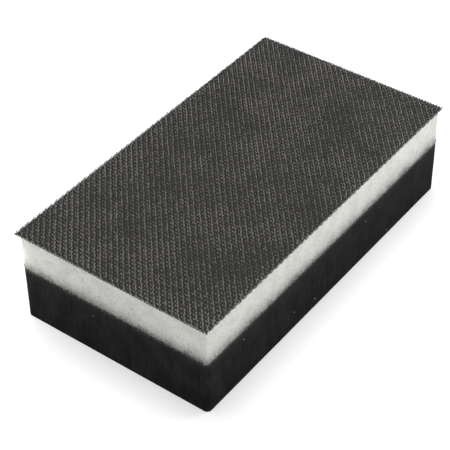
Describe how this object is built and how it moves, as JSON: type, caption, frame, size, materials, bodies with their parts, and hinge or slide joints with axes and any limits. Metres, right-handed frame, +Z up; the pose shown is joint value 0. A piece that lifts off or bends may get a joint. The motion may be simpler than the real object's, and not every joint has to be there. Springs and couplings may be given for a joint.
{
  "type": "sanding block",
  "caption": "Hand sanding block of firm foam with a soft foam layer and a hook-fabric face that holds loop-backed abrasive sheets.",
  "frame": {"origin": "under the middle of the firm foam's base, on the surface that the block stands on", "axes": "+X along the long side, +Y along the short side, +Z up through the layers towards the hook face"},
  "size_m": [0.1258, 0.0702, 0.0333],
  "materials": {
    "firm_foam": "matte",
    "soft_foam": "matte",
    "adhesive": "satin",
    "back_coating": "matte",
    "ground_cloth": "matte",
    "hook_thread": "satin"
  },
  "bodies": {
    "root": {"firm_foam_core": "firm_foam", "core_adhesive_film": "adhesive", "soft_foam_layer": "soft_foam", "sheet_adhesive_film": "adhesive", "hook_back_coating": "back_coating", "hook_ground_cloth": "ground_cloth", "hook_thread_01": "hook_thread", "hook_thread_02": "hook_thread", "hook_thread_03": "hook_thread", "hook_thread_04": "hook_thread", "hook_thread_05": "hook_thread", "hook_thread_06": "hook_thread", "hook_thread_07": "hook_thread", "hook_thread_08": "hook_thread", "hook_thread_09": "hook_thread", "hook_thread_10": "hook_thread", "hook_thread_11": "hook_thread", "hook_thread_12": "hook_thread", "hook_thread_13": "hook_thread", "hook_thread_14": "hook_thread", "hook_thread_15": "hook_thread", "hook_thread_16": "hook_thread", "hook_thread_17": "hook_thread", "hook_thread_18": "hook_thread", "hook_thread_19": "hook_thread", "hook_thread_20": "hook_thread", "hook_thread_21": "hook_thread", "hook_thread_22": "hook_thread", "hook_thread_23": "hook_thread", "hook_thread_24": "hook_thread", "hook_thread_25": "hook_thread", "hook_thread_26": "hook_thread", "hook_thread_27": "hook_thread", "hook_thread_28": "hook_thread", "hook_thread_29": "hook_thread", "hook_thread_30": "hook_thread", "hook_thread_31": "hook_thread", "hook_thread_32": "hook_thread", "hook_thread_33": "hook_thread"}
  },
  "joints": []
}
